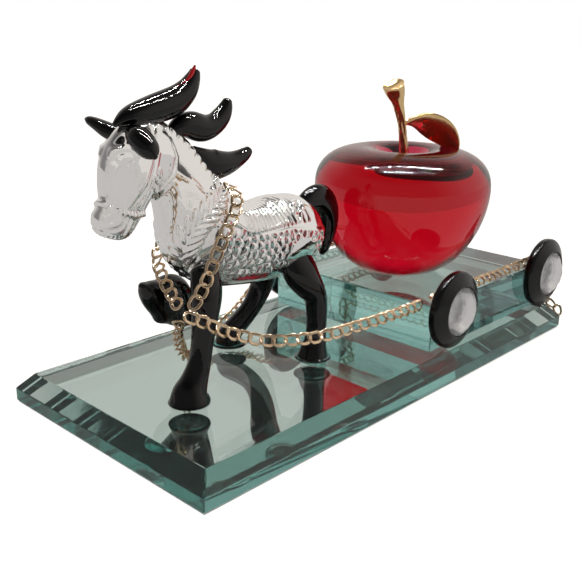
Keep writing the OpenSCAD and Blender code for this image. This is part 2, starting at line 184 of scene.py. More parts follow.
def black_glass(name, rough=0.035, wave=0.12):
    paint = Paint(name, Base_Color=(0.002, 0.002, 0.0026, 1), Roughness=rough, IOR=1.45)
    soft = paint.noise(330, 2)
    paint.drive("Roughness", paint.spread(paint.noise(900, 3), rough * 0.7, rough * 1.6))
    paint.bump(soft, wave, 0.0006)
    return paint.material


def red_crystal():
    paint = clear_glass("crystal_red", 1.52, (1.0, 0.64, 0.86), 0.03)
    paint.absorb((0.93, 0.01, 0.3), 130.0)
    return paint.material


def gold(name, colour, dark, rough):
    paint = Paint(name, Metallic=1.0, Roughness=rough)
    grain = paint.noise(1500, 4)
    paint.drive("Base Color", paint.tint(grain, dark, colour))
    paint.drive("Roughness", paint.spread(paint.noise(2600, 3), rough * 0.7, rough * 1.5))
    paint.bump(paint.noise(1100, 3), 0.25, 0.0001)
    return paint.material


def mirror():
    paint = Paint("mirror_silver_film", Base_Color=(0.93, 0.85, 0.84, 1), Metallic=1.0, Roughness=0.015)
    paint.drive("Roughness", paint.spread(paint.noise(60, 2), 0.01, 0.02))
    return paint.material


def backing():
    paint = Paint("mirror_backing_paint", Roughness=0.6)
    paint.drive("Base Color", paint.tint(paint.noise(500, 4), (0.20, 0.22, 0.22), (0.30, 0.32, 0.32)))
    return paint.material


def foil():
    paint = Paint("stone_foil", Metallic=1.0, Roughness=0.25)
    paint.drive("Base Color", paint.tint(paint.noise(1200, 2), (0.84, 0.85, 0.87), (0.97, 0.97, 0.98)))
    return paint.material


SEA_BASE = sea_glass("sea_glass_base", (0.86, 0.94, 0.92), (0.0, 0.78, 0.74), 16.0, 0.96)
SEA_BLOCK = sea_glass("sea_glass_block", (1, 1, 1), (0.0, 0.78, 0.73), 10.0, 0.99)
CRYSTAL = horse_glass()
BLACK = black_glass("glass_black")
WHEEL_BLACK = black_glass("glass_black_wheel", 0.16, 0.06)
RED = red_crystal()
THREAD = Paint("glass_red_thread", Base_Color=(0.75, 0.01, 0.02, 1), Roughness=0.06, IOR=1.5).material
GOLD_CAST = gold("gold_cast_plating", (0.97, 0.76, 0.42), (0.72, 0.46, 0.2), 0.12)
GOLD_CHAIN = gold("gold_chain_plating", (1.0, 0.81, 0.58), (0.66, 0.43, 0.25), 0.12)
MIRROR = mirror()
BACKING = backing()
FOIL = foil()
STONE = clear_glass("stone_crystal", 1.57).material
GLUE = clear_glass("adhesive_clear", 1.48, (0.985, 0.985, 0.97)).material


# ---- mesh helpers ------------------------------------------------------------------------

def put(name, points, faces, material, slot, *nodes, smooth=True):
    """Makes a mesh piece from millimetre points, in place of the CAD nodes named."""
    mesh = bpy.data.meshes.new(name)
    mesh.from_pydata((np.asarray(points, float) * MM).tolist(), [], faces)
    mesh.materials.append(material)
    mesh.polygons.foreach_set("use_smooth", [smooth] * len(mesh.polygons))
    mesh.update()
    piece = bpy.data.objects.new(name, mesh)
    bpy.context.scene.collection.objects.link(piece)
    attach(piece, "root")
    if nodes:
        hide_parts(*nodes)
    return piece


def through(points, count):
    """Smooth curve through rows of numbers, with count steps between neighbours."""
    p = np.asarray(points, float)
    padded = np.vstack([p[:1], p, p[-1:]])
    rows = []
    for i in range(len(p) - 1):
        a, b, c, d = padded[i:i + 4]
        for t in np.arange(count) / count:
            rows.append(0.5 * (2 * b + (c - a) * t + (2 * a - 5 * b + 4 * c - d) * t * t
                               + (3 * b - a - 3 * c + d) * t ** 3))
    rows.append(p[-1])
    return np.array(rows)


def relax(rows, passes):
    """Evens out a dense curve, leaving its ends in place."""
    rows = rows.copy()
    for _ in range(passes):
        rows[1:-1] = 0.25 * rows[:-2] + 0.5 * rows[1:-1] + 0.25 * rows[2:]
    return rows


def unit(v):
    return v / np.maximum(np.linalg.norm(v, axis=-1, keepdims=True), 1e-9)


def skin(rings, poles=True):
    """Points and faces of a closed tube over rings of shape (rings, sides, 3)."""
    count, sides = rings.shape[:2]
    points = rings.reshape(-1, 3)
    k = np.arange(sides)
    after = (k + 1) % sides
    faces = []
    for i in range(count - 1):
        a, b = i * sides, (i + 1) * sides
        faces += np.stack([a + k, a + after, b + after, b + k], 1).tolist()
    if poles:
        points = np.vstack([points, rings[0].mean(0), rings[-1].mean(0)])
        first, last = count * sides, count * sides + 1
        faces += [[first, int(after[i]), int(k[i])] for i in range(sides)]
        base = (count - 1) * sides
        faces += [[last, base + int(k[i]), base + int(after[i])] for i in range(sides)]
    return points, faces


def tube(stations, side=(0, 1, 0), sides=28, steps=10, foot=None, ease=14, swell=None):
    """Smooth limb through stations of x, y, z, half depth and half width."""
    rows = relax(through(stations, steps), ease)
    middle = rows[:, :3]
    along = unit(np.gradient(middle, axis=0))
    if foot is not None:
        blend = np.clip((np.arange(len(rows)) - (len(rows) - 1 - steps)) / steps, 0, 1)[:, None]
        along = unit(along * (1 - blend) + np.array(foot) * blend)
    side = np.array(side, float)
    wide = unit(side - (along @ side)[:, None] * along)
    deep = np.cross(wide, along)
    angle = 2 * np.pi * np.arange(sides) / sides
    rings = (middle[:, None] + rows[:, 4, None, None] * np.cos(angle)[None, :, None] * wide[:, None]
             + rows[:, 3, None, None] * np.sin(angle)[None, :, None] * deep[:, None])
    if swell is not None:
        out = unit(rings - middle[:, None])
        rings = rings + out * swell(rings, np.linspace(0, 1, len(rows))[:, None], angle[None])[..., None]
    return rings


def dome(rings, first=True, last=True, bulge=0.6, steps=5):
    """Rounds the open ends of a tube by adding shrinking rings."""
    parts = [rings]
    if last:
        c, a = rings[-1].mean(0), unit(rings[-1].mean(0) - rings[-2].mean(0))
        r = np.linalg.norm(rings[-1] - c, axis=1).mean()
        parts.append(np.array([c + (rings[-1] - c) * math.cos(t) + a * r * bulge * math.sin(t)
                               for t in np.linspace(0, 1.45, steps)[1:]]))
    if first:
        c, a = rings[0].mean(0), unit(rings[0].mean(0) - rings[1].mean(0))
        r = np.linalg.norm(rings[0] - c, axis=1).mean()
        parts.insert(0, np.array([c + (rings[0] - c) * math.cos(t) + a * r * bulge * math.sin(t)
                                  for t in np.linspace(1.45, 0, steps)[:-1]]))
    return np.concatenate(parts)


def lathe(profile, sides, centre=(0, 0, 0), axis=None):
    """Rings of a turned shape; profile is rows of radius and height along the axis."""
    angle = 2 * np.pi * np.arange(sides) / sides
    axis = np.array(axis if axis is not None else (0, 0, 1), float)
    a = np.array((1, 0, 0), float) if abs(axis[0]) < 0.9 else np.array((0, 1, 0), float)
    a = unit(a - (a @ axis) * axis)
    b = np.cross(axis, a)
    p = np.asarray(profile, float)
    round_ = np.cos(angle)[:, None] * a + np.sin(angle)[:, None] * b
    return np.array(centre) + p[:, 0, None, None] * round_[None] + p[:, 1, None, None] * axis


def rounded(corners, radius, steps=4):
    """An open profile with its inner corners rounded; a radius of 0 keeps one sharp."""
    p = [np.array(c, float) for c in corners]
    radii = radius if isinstance(radius, (list, tuple)) else [radius] * len(p)
    out = [p[0]]
    for i in range(1, len(p) - 1):
        a, b, c = p[i - 1], p[i], p[i + 1]
        r = min(radii[i], 0.45 * np.linalg.norm(a - b), 0.45 * np.linalg.norm(c - b))
        if r < 1e-4:
            out.append(b)
            continue
        start, end = b + unit(a - b) * r, b + unit(c - b) * r
        for t in np.linspace(0, 1, steps):
            out.append((1 - t) ** 2 * start + 2 * t * (1 - t) * b + t * t * end)
    out.append(p[-1])
    return np.array(out)


# ---- base --------------------------------------------------------------------------------

OVERLAP = 0.04      # glued glass reaches this far into its neighbour, so no air gap shows
BEVEL_WIDTH = 3.35
BEVEL_HEIGHT = 3.75
ARRIS = 0.4

base_lo, base_hi = box("base_plate")
silver_top = box("mirror_silver")[1][2]
plate_top = base_hi[2]


def rectangle_ring(half_x, half_y, corner, z, steps=4):
    """A rectangle with small round corners, as a ring of points."""
    ring = []
    for sx, sy, start in ((1, 1, 0), (-1, 1, 90), (-1, -1, 180), (1, -1, 270)):
        for t in np.linspace(0, 90, steps):
            a = math.radians(start + t)
            ring.append((sx * (half_x - corner) + corner * math.cos(a),
                         sy * (half_y - corner) + corner * math.sin(a), z))
    return ring


def slab(levels, corner, centre=(0, 0)):
    """A block from levels of (z, half length, half width), with fine round edges."""
    rings = np.array([rectangle_ring(hx, hy, corner, z) for z, hx, hy in levels])
    rings[..., 0] += centre[0]
    rings[..., 1] += centre[1]
    return rings


def bevelled_levels(z0, z1, hx, hy, bevel_w, bevel_h, arris):
    """Levels of a plate with a polished bevel and finely ground edges."""
    fine = 0.12
    return [
        (z0, hx - arris, hy - arris), (z0 + arris, hx, hy),
        (z1 - bevel_h - fine, hx, hy), (z1 - bevel_h, hx - fine * 0.3, hy - fine * 0.3),
        (z1 - bevel_h + fine, hx - fine, hy - fine),
        (z1 - fine * 0.9, hx - bevel_w + fine * 0.8, hy - bevel_w + fine * 0.8),
        (z1 - fine * 0.25, hx - bevel_w + fine * 0.1, hy - bevel_w + fine * 0.1),
        (z1, hx - bevel_w - fine, hy - bevel_w - fine),
    ]


def flat_skin(rings):
    """Faces of a slab: its walls, and its two ends as single faces."""
    count, sides = rings.shape[:2]
    points, faces = skin(rings, poles=False)
    faces.append(list(range(sides))[::-1])
    faces.append(list(range((count - 1) * sides, count * sides)))
    return points, faces


def make_base():
    half = (base_hi - base_lo) / 2
    levels = bevelled_levels(silver_top - OVERLAP, plate_top, half[0], half[1],
                             BEVEL_WIDTH, BEVEL_HEIGHT, ARRIS)
    points, faces = flat_skin(slab(levels, 0.35))
    put("base_glass", points, faces, SEA_BASE, "sea_glass", "base_plate", smooth=False)


def make_block():
    lo, hi = box("cart_block")
    middle, half = (lo + hi) / 2, (hi - lo) / 2
    edge = 0.35
    levels = [(lo[2] - OVERLAP, half[0], half[1]), (hi[2] - edge, half[0], half[1]),
              (hi[2], half[0] - edge, half[1] - edge)]
    points, faces = flat_skin(slab(levels, 0.3, middle[:2]))
    put("cart_block_glass", points, faces, SEA_BLOCK, "sea_glass", "cart_block", smooth=False)


make_base()
make_block()


# ---- wheels ------------------------------------------------------------------------------

def crown(centre, axis, radius, z_back, z_girdle, z_top):
    """A flat-backed round stone: table, star, kite and girdle facets."""
    axis = np.array(axis, float)
    a = np.array((1, 0, 0), float)
    b = np.cross(axis, a)

    def ring(count, r, z, turn):
        t = 2 * np.pi * (np.arange(count) + turn) / count
        return (np.array(centre) + r * (np.cos(t)[:, None] * a + np.sin(t)[:, None] * b) + z * axis)

    table = ring(8, 0.56 * radius, z_top, 0)
    mid = ring(8, 0.80 * radius, z_girdle + 0.56 * (z_top - z_girdle), 0.5)
    girdle = ring(16, radius, z_girdle + 0.25, 0)
    under = ring(16, radius, z_girdle, 0)
    back = ring(16, radius - 0.6, z_back, 0)
    points = np.vstack([table, mid, girdle, under, back])
    T, M, G, U, B = 0, 8, 16, 32, 48
    faces = [list(range(8))]
    for k in range(8):
        n = (k + 1) % 8
        g = [(2 * k + j) % 16 for j in range(3)]
        faces.append([T + k, M + k, T + n])
        faces.append([T + k, M + (k - 1) % 8, G + g[0], M + k])
        faces.append([M + k, G + g[0], G + g[1]])
        faces.append([M + k, G + g[1], G + g[2]])
    for k in range(16):
        n = (k + 1) % 16
        faces.append([G + k, U + k, U + n, G + n])
        faces.append([U + k, B + k, B + n, U + n])
    faces.append([B + k for k in range(16)][::-1])
    return points, faces


def make_wheel(where):
    lo, hi = box(f"wheel_{where}")
    stone_lo, stone_hi = box(f"stone_{where}")
    side = -1 if where.endswith("left") else 1
    centre = (lo + hi) / 2
    radius = (hi[0] - lo[0]) / 2
    stone_r = (stone_hi[0] - stone_lo[0]) / 2
    inner = min(abs(lo[1]), abs(hi[1]))
    outer = max(abs(lo[1]), abs(hi[1]))
    seat = min(abs(stone_lo[1]), abs(stone_hi[1]))
    axis = (0, side, 0)
    hub = (centre[0], 0, centre[2])
    profile = rounded([
        (0.01, inner), (radius - 1.0, inner), (radius - 0.1, inner + 0.6), (radius, outer - 2.1),
        (radius - 0.4, outer - 1.6), (stone_r + 0.45, outer), (stone_r + 0.12, outer - 0.15),
        (stone_r + 0.12, seat - 0.05), (0.01, seat - 0.05),
    ], [0, 0.5, 0.5, 0.35, 0.35, 0.12, 0.08, 0, 0], 5)
    points, faces = skin(lathe(profile, 120, hub, axis))
    put(f"tyre_{where}", points, faces, WHEEL_BLACK, "black_glass", f"wheel_{where}")
    top = max(abs(stone_lo[1]), abs(stone_hi[1]))
    points, faces = crown(hub, axis, stone_r, seat, seat + 1.1, top)
    put(f"rhinestone_{where}", points, faces, STONE, "rhinestone", f"stone_{where}", smooth=False)
    rings = lathe([(0.01, seat - 0.03), (stone_r - 0.5, seat - 0.03), (stone_r - 0.5, seat + 0.06),
                   (0.01, seat + 0.06)], 48, hub, axis)
    points, faces = skin(rings)
    put(f"foil_{where}", points, faces, FOIL, "rhinestone", smooth=False)
    bond_lo, bond_hi = box(f"bond_{where}")
    wall = min(abs(bond_lo[1]), abs(bond_hi[1]))
    bond_r = (bond_hi[0] - bond_lo[0]) / 2
    rings = lathe([(0.01, wall - OVERLAP), (bond_r, wall - OVERLAP), (bond_r - 0.4, inner - 0.01),
                   (0.01, inner - 0.01)], 64, hub, axis)
    points, faces = skin(rings)
    put(f"glue_{where}", points, faces, GLUE, "clear_adhesive", f"bond_{where}", smooth=False)


for where in ("front_left", "front_right", "rear_left", "rear_right"):
    make_wheel(where)


# ---- apple -------------------------------------------------------------------------------

apple_lo, apple_hi = box("apple_body")
apple_r = (apple_hi[0] - apple_lo[0]) / 2
apple_h = apple_hi[2] - apple_lo[2]
apple_x = (apple_lo[0] + apple_hi[0]) / 2
apple_z = apple_lo[2]
APPLE_FOOT = 8.0
APPLE_WAIST = 0.69 * apple_h
APPLE_RIM = 0.42 * apple_r
SHOULDER_BEND = 0.85    # 1 is an ellipse, less is fuller
BELLY_BEND = 1.1
STEM_OFFSET = 0.6
DIMPLE = 5.0


def apple_profile():
    """Radius and height of the apple from its foot, over the shoulder, into the dimple."""
    rows = [(0.01, 0), (APPLE_FOOT * 0.6, 0)]
    for a in np.radians(np.linspace(2, 90, 70)):
        rows.append((APPLE_FOOT + (apple_r - APPLE_FOOT) * math.sin(a) ** BELLY_BEND,
                     APPLE_WAIST * (1 - max(math.cos(a), 0) ** BELLY_BEND)))
    for a in np.radians(np.linspace(0, 90, 60))[1:]:
        rows.append((APPLE_RIM + (apple_r - APPLE_RIM) * max(math.cos(a), 0) ** SHOULDER_BEND,
                     APPLE_WAIST + (apple_h - APPLE_WAIST) * math.sin(a) ** SHOULDER_BEND))
    for r in np.linspace(APPLE_RIM, 0.01, 30)[1:]:
        rows.append((r, apple_h - DIMPLE * (1 + math.cos(math.pi * r / APPLE_RIM)) / 2))
    rows = np.array(rows)
    rows[2:] = relax(rows[2:], 60)
    rows[:, 1] += apple_z
    return rows


def make_apple():
    points, faces = skin(lathe(apple_profile(), 160, (apple_x, 0, 0)))
    put("apple_crystal", points, faces, RED, "red_crystal", "apple_body")
    lo, hi = box("apple_bond")
    r = (hi[0] - lo[0]) / 2
    rings = lathe([(0.01, lo[2] - OVERLAP), (r, lo[2] - OVERLAP), (r - 0.25, (lo[2] + hi[2]) / 2),
                   (r - 0.3, hi[2] + OVERLAP), (0.01, hi[2] + OVERLAP)], 96, (apple_x, 0, 0))
    points, faces = skin(rings)
    put("apple_glue", points, faces, GLUE, "clear_adhesive", "apple_bond", smooth=False)


make_apple()

STEM_FOOT = apple_z + apple_h - DIMPLE


def make_stem():
    x = apple_x + STEM_OFFSET
    z = STEM_FOOT

    def hammered(rings, t, angle):
        grain = (0.13 * np.sin(5 * angle + 9 * t) + 0.11 * np.sin(3 * angle - 17 * t + 1)
                 + 0.12 * np.sin(7 * angle + 41 * t) * np.sin(63 * t))
        return grain * (0.6 + 0.7 * np.clip(t - 0.55, 0, 1))

    rings = tube([
        [x + 0.3, 0, z - 0.6, 2.0, 2.0], [x + 0.2, 0, z + 1, 1.7, 1.7],
        [x - 1.2, 0, z + 6, 1.15, 1.15], [x - 2.6, 0, z + 12, 1.15, 1.15],
        [x - 4.4, 0, z + 16.5, 1.5, 1.5], [x - 6.6, 0, z + 20.5, 2.6, 2.5],
        [x - 7.4, 0, z + 22, 3.0, 2.9]
    ], sides=36, foot=unit(np.array((-0.6, 0, 1))), ease=6, swell=hammered)
    end = rings[-1]
    c = end.mean(0)
    lip = [c + (end - c) * 0.93 + np.array((-0.1, 0, 0.25)), c + (end - c) * 0.8 + np.array((-0.05, 0, 0.05)),
           c + (end - c) * 0.45 + np.array((0.1, 0, -0.25))]
    points, faces = skin(np.concatenate([rings, np.array(lip)]))
    put("stem_cast", points, faces, GOLD_CAST, "gold_cast", "apple_stem")


def make_leaf():
    x = apple_x + STEM_OFFSET - 2.2
    z = STEM_FOOT + 10.6
    reach = unit(np.array((1, -0.7, 0)))
    rows = [[0.6, 1.0, 0.5, 0.5], [3, 1.4, 0.5, 1.5], [6.2, 1.1, 0.5, 3.2], [9.6, -0.2, 0.5, 4.0],
            [12.6, -2.2, 0.5, 3.8], [14.8, -4.6, 0.45, 2.8], [16.0, -6.6, 0.4, 1.5],
            [16.4, -7.6, 0.3, 0.4]]
    side = unit(np.array((0.29, 0.3, -0.91)))
    line = relax(through([[x + r[0] * reach[0], r[0] * reach[1], z + r[1], r[2], r[3]] for r in rows], 12), 8)
    middle, half = line[:, :3], line[:, 4]
    along = unit(np.gradient(middle, axis=0))
    wide = unit(side - (along @ side)[:, None] * along)
    up = np.cross(wide, along)
    up *= np.sign(up[len(up) // 2] @ np.array((0.6, 0.6, 0.5)))
    sections = []
    across = np.linspace(-1, 1, 21)
    for m, h, w, n, t in zip(middle, half, wide, up, np.linspace(0, 1, len(middle))):
        blade = min(max((t - 0.18) / 0.15, 0), 1)
        rim = 0.32 * np.exp(-((np.abs(across) - 0.93) / 0.07) ** 2)
        vein = 0.22 * np.exp(-(across / 0.09) ** 2)
        dish = -0.55 * (1 - across ** 2)
        lift = blade * (rim + vein + dish) + (1 - blade) * 0.45 * np.sqrt(np.maximum(1 - across ** 2, 0))
        thin = 0.28 + 0.17 * (1 - blade)
        top = m + (across[:, None] * h) * w + (lift[:, None] + thin * 0.5) * n
        low = m + (across[::-1, None] * h) * w + ((blade * (dish[::-1]) * 0.9
              - (1 - blade) * 0.45 * np.sqrt(np.maximum(1 - across[::-1] ** 2, 0)))[:, None] - thin * 0.5) * n
        sections.append(np.vstack([top, low]))
    points, faces = skin(np.array(sections))
    put("leaf_cast", points, faces, GOLD_CAST, "gold_cast", "apple_leaf")


make_stem()
make_leaf()


# ---- horse body --------------------------------------------------------------------------

HORSE_Y = 2.0
HOOF_Z = 7.65
BARREL_LOW = 27.4
BARREL_HIGH = 47.4
BARREL_HALF = 9.5

# Sections from the rump forward, up the neck, over the poll and down to the chin:
# x and z of the lowest point, x and z of the highest point, and the half width.
BODY = [
    [-5.0, 37.8, -5.0, 38.8, 0.6],
    [-6.0, 33.4, -5.8, 43.0, 5.2],
    [-9.8, 29.8, -9.2, 46.4, 8.6],
    [-15.4, BARREL_LOW + 0.6, -14.6, BARREL_HIGH + 0.4, BARREL_HALF],
    [-24, BARREL_LOW + 0.2, -23.6, BARREL_HIGH - 0.4, BARREL_HALF],
    [-32.6, BARREL_LOW + 1, -32.0, BARREL_HIGH + 1.4, BARREL_HALF - 0.2],
    [-42.4, 30.4, -34.4, 50.2, BARREL_HALF - 0.9],
    [-49.6, 36.4, -35.8, 52.0, 7.8],
    [-52.6, 43.4, -38.0, 54.8, 6.4],
    [-53.6, 48.6, -42.0, 59.6, 5.2],
    [-54.4, 51.4, -46.4, 64.4, 4.7],
    [-55.2, 52.2, -51.0, 67.6, 4.6],
    [-55.9, 52.2, -56.0, 69.0, 4.8],
    [-56.5, 51.6, -60.6, 68.4, 5.1],
    [-57.1, 50.8, -64.4, 65.6, 5.3],
    [-57.8, 49.9, -66.6, 61.6, 5.2],
    [-58.6, 48.8, -67.2, 57.0, 4.7],
    [-59.6, 47.6, -67.2, 53.4, 4.3],
    [-60.8, 46.4, -68.8, 50.8, 4.5],
    [-62.6, 45.4, -69.0, 48.0, 4.3],
    [-64.6, 45.1, -67.8, 46.3, 2.9],
    [-66.0, 45.3, -66.5, 45.6, 0.6],
]


def near(x, z, cx, cz, rx, rz, turn=0.0):
    """A soft round hill, 1 at its middle; turn is in degrees."""
    t = math.radians(turn)
    dx, dz = x - cx, z - cz
    u = (dx * math.cos(t) + dz * math.sin(t)) / rx
    v = (dz * math.cos(t) - dx * math.sin(t)) / rz
    return np.exp(-(u * u + v * v))


def step(value, edge, soft):
    """Goes smoothly from 0 to 1 as value passes edge."""
    t = np.clip((value - edge) / soft + 0.5, 0, 1)
    return t * t * (3 - 2 * t)


def ridge(x, z, path, width):
    """A soft ridge along a path of (x, z) points, and the distance along it."""
    p = np.asarray(path, float)
    best = np.full(x.shape, 1e9)
    run = np.zeros(x.shape)
    done = 0.0
    for a, b in zip(p[:-1], p[1:]):
        d = b - a
        length = np.linalg.norm(d)
        t = np.clip(((x - a[0]) * d[0] + (z - a[1]) * d[1]) / length ** 2, 0, 1)
        gap = np.hypot(x - a[0] - t * d[0], z - a[1] - t * d[1])
        closer = gap < best
        best = np.where(closer, gap, best)
        run = np.where(closer, done + t * length, run)
        done += length
    return np.exp(-(best / width) ** 2), run, best


def cells(x, z, pitch, seed):
    """How far each point is inside its own cell of scattered ones: 0 at a border, 1 at a middle."""
    rng = np.random.default_rng(seed)
    gx = np.arange(x.min() - 2 * pitch, x.max() + 2 * pitch, pitch)
    gz = np.arange(z.min() - 2 * pitch, z.max() + 2 * pitch, pitch * 0.87)
    seeds = []
    for j, cz in enumerate(gz):
        for cx in gx:
            jitter = rng.uniform(-0.27, 0.27, 2) * pitch
            seeds.append((cx + (j % 2) * pitch / 2 + jitter[0], cz + jitter[1]))
    seeds = np.array(seeds)
    fx, fz = x.ravel(), z.ravel()
    best = np.full((x.size, 2), 1e9)
    for s in range(0, len(seeds), 40):
        part = seeds[s:s + 40]
        d = np.hypot(fx[:, None] - part[None, :, 0], (fz[:, None] - part[None, :, 1]) * 0.85)
        best = np.sort(np.hstack([best, d]), axis=1)[:, :2]
    return np.clip((best[:, 1] - best[:, 0]) / pitch, 0, 1).reshape(x.shape)


def petal(x, z, place, turn, length, width):
    """A leaf-shaped hill with a crisp edge; turn is in radians."""
    dx, dz = x - place[0], z - place[1]
    u = (dx * math.cos(turn) + dz * math.sin(turn)) / length
    v = (dz * math.cos(turn) - dx * math.sin(turn)) / width
    return np.sqrt(np.maximum(1 - u * u - v * v, 0))


PEBBLE_PITCH = 2.25
PEBBLE_SEED = 11
RIB_PERIOD = 1.35
CREST_BEAD = 2.3        # length of one bead of the plaited crest
CREST_SIDE = 2.9        # how far the beads lie from the horse's middle plane

BLANKET_TOP = [(-41.5, 47.5), (-37.4, 45.1), (-34.9, 43.2), (-30.6, 41.8), (-24.5, 41.5),
               (-21.0, 41.6), (-16.4, 40.7), (-11.5, 39.8), (-6.0, 39.6)]
SADDLE_RIM = [(-33.6, 45.8), (-33.9, 43.9), (-32.6, 42.8), (-28.5, 42.5), (-24.5, 42.6), (-21.5, 43.0)]
HEM = [(-41.5, 34.6), (-36, 33.4), (-31, 32.8), (-27, 32.4)]
THROAT_ARC = [(-54.9, 67.1), (-52.6, 64.6), (-51.7, 61.0), (-52.8, 57.4), (-55.6, 54.2)]
COLLAR = [(-38.2, 53.6), (-40.6, 51.8), (-43.4, 49.9), (-46.2, 47.6), (-48.4, 45.2), (-49.6, 42.2),
          (-50.0, 39.0), (-48.2, 35.6), (-45.2, 33.0)]
CREST = [(-56.5, 68.4), (-51.4, 67.2), (-46.8, 63.9), (-42.6, 59.4), (-38.6, 54.6), (-36.2, 51.8)]
NOSEBAND = [(-67.6, 53.3), (-66.6, 52.0), (-64.9, 51.2), (-62.6, 50.3), (-60.0, 50.2), (-58.4, 49.4)]
CHEEK_STRAP = [(-58.0, 63.4), (-58.8, 60.6), (-60.6, 57.6), (-62.6, 54.6), (-64.0, 52.4)]
JAW_STRAP = [(-56.4, 62.4), (-57.6, 58.4), (-59.4, 54.8), (-61.4, 51.6)]
BROW_BAND = [(-57.2, 64.2), (-60.0, 64.6), (-63.4, 64.2), (-66.0, 63.2)]


def relief(p, n):
    """Height of the moulded detail on the body, in millimetres, along its normal."""
    x, y, z = p[..., 0], p[..., 1] - HORSE_Y, p[..., 2]
    flank = step(np.abs(n[..., 1]), 0.30, 0.35)
    h = np.zeros(x.shape)

    # blanket with its raised border and pebbled field
    top_z = np.interp(x, [q[0] for q in BLANKET_TOP], [q[1] for q in BLANKET_TOP])
    inside = step(top_z - z, 0.35, 0.5) * step(x, -42.0, 2.0) * step(-x, 6.5, 1.5)
    border, _, _ = ridge(x, z, BLANKET_TOP, 0.42)
    h += 0.34 * border * flank
    smooth_patch = step(near(x, z, -17.6, 35.2, 5.2, 4.2), 0.42, 0.10)
    field = inside * flank * (1 - smooth_patch) * step(z, 32.4, 0.7)
    cobble = np.zeros(x.shape)
    part = field > 0
    cobble[part] = np.clip(cells(x[part], z[part], PEBBLE_PITCH, PEBBLE_SEED) / 0.42, 0, 1) ** 0.6
    h += (0.64 * cobble - 0.26) * field * (0.45 + 0.55 * step(x, -31.0, 5.0))
    hem, _, _ = ridge(x, z, HEM, 0.35)
    h += 0.28 * hem * flank
    h += 0.25 * smooth_patch * inside * flank

    # saddle with ribs that fan out below its ridge
    saddle_h = step(z, 42.3, 0.6) * step(x, -34.0, 0.8) * step(-x, 13.6, 0.8)
    side_up = step(np.abs(y), 0.8, 1.5)
    fan = x + (z - 42.0) * (x + 26.0) * 0.018
    ribs = np.abs(np.sin((fan + 34.0) * math.pi / RIB_PERIOD))
    rib_zone = saddle_h * side_up * (1 - step(z, 46.6, 1.2)) * (1 - step(x, -18.6, 0.8))
    h += rib_zone * (0.58 * ribs ** 0.7 - 0.08)
    rim, _, _ = ridge(x, z, SADDLE_RIM, 0.38)
    h += 0.30 * rim * side_up
    for cx, cz, turn in ((-17.2, 44.4, 62), (-14.8, 43.6, 80), (-16.0, 45.6, 20)):
        ring = near(x, z, cx, cz, 1.9, 0.95, turn)
        h += 0.45 * (np.exp(-((ring - 0.42) / 0.16) ** 2)) * side_up * saddle_h
    h += 0.9 * near(x, z, -20.2, 47.8, 3.0, 1.6) * (z > 44)
    wrinkle = np.sin(x * 3.6 + np.sin(y * 2.4) * 1.2) * np.sin(y * 2.6 + x * 0.9)
    h += 0.09 * wrinkle * near(x, z, -22.0, 47.2, 6.0, 1.6) * (z > 44)
    h += 0.5 * near(x, z, -32.4, 48.6, 1.6, 1.4) * (z > 45)

    # collar: overlapping leaves along the shoulder and the breast
    path = relax(through(COLLAR, 12), 10)
    heading = np.arctan2(*np.gradient(path, axis=0).T[::-1])
    leaves = np.zeros(x.shape)
    for k in range(5, len(path) - 4, 7):
        for sign in (-1, 1):
            across = heading[k] + sign * math.pi / 2
            place = path[k] + 1.55 * np.array((math.cos(across), math.sin(across)))
            leaves = np.maximum(leaves, petal(x, z, place, heading[k] - sign * 0.65, 2.2, 0.62))
    h += 0.62 * leaves * step(np.abs(n[..., 1]), 0.12, 0.3) * trunk_or_neck(x)
    spine, _, gap = ridge(x, z, COLLAR, 0.4)
    h += 0.25 * spine * flank * trunk_or_neck(x)
    arc, _, _ = ridge(x, z, THROAT_ARC, 0.4)
    h -= 0.22 * arc * flank

    # plaited crest: a row of beads on each side of the ridge
    crest, run, _ = ridge(x, z, CREST, 2.2)
    beside = np.exp(-((np.abs(y) - CREST_SIDE) / 1.1) ** 2)
    h += crest * beside * (0.42 * np.abs(np.sin(run * math.pi / CREST_BEAD + np.abs(y) * 0.7)) ** 0.7 - 0.15)

    h += head_relief(x, y, z, n)
    return h * trunk_fade(x)


def trunk_or_neck(x):
    return step(x, -52.5, 1.5)


def trunk_fade(x):
    """No detail on the very end of the rump."""
    return step(-x, 5.4, 1.0)


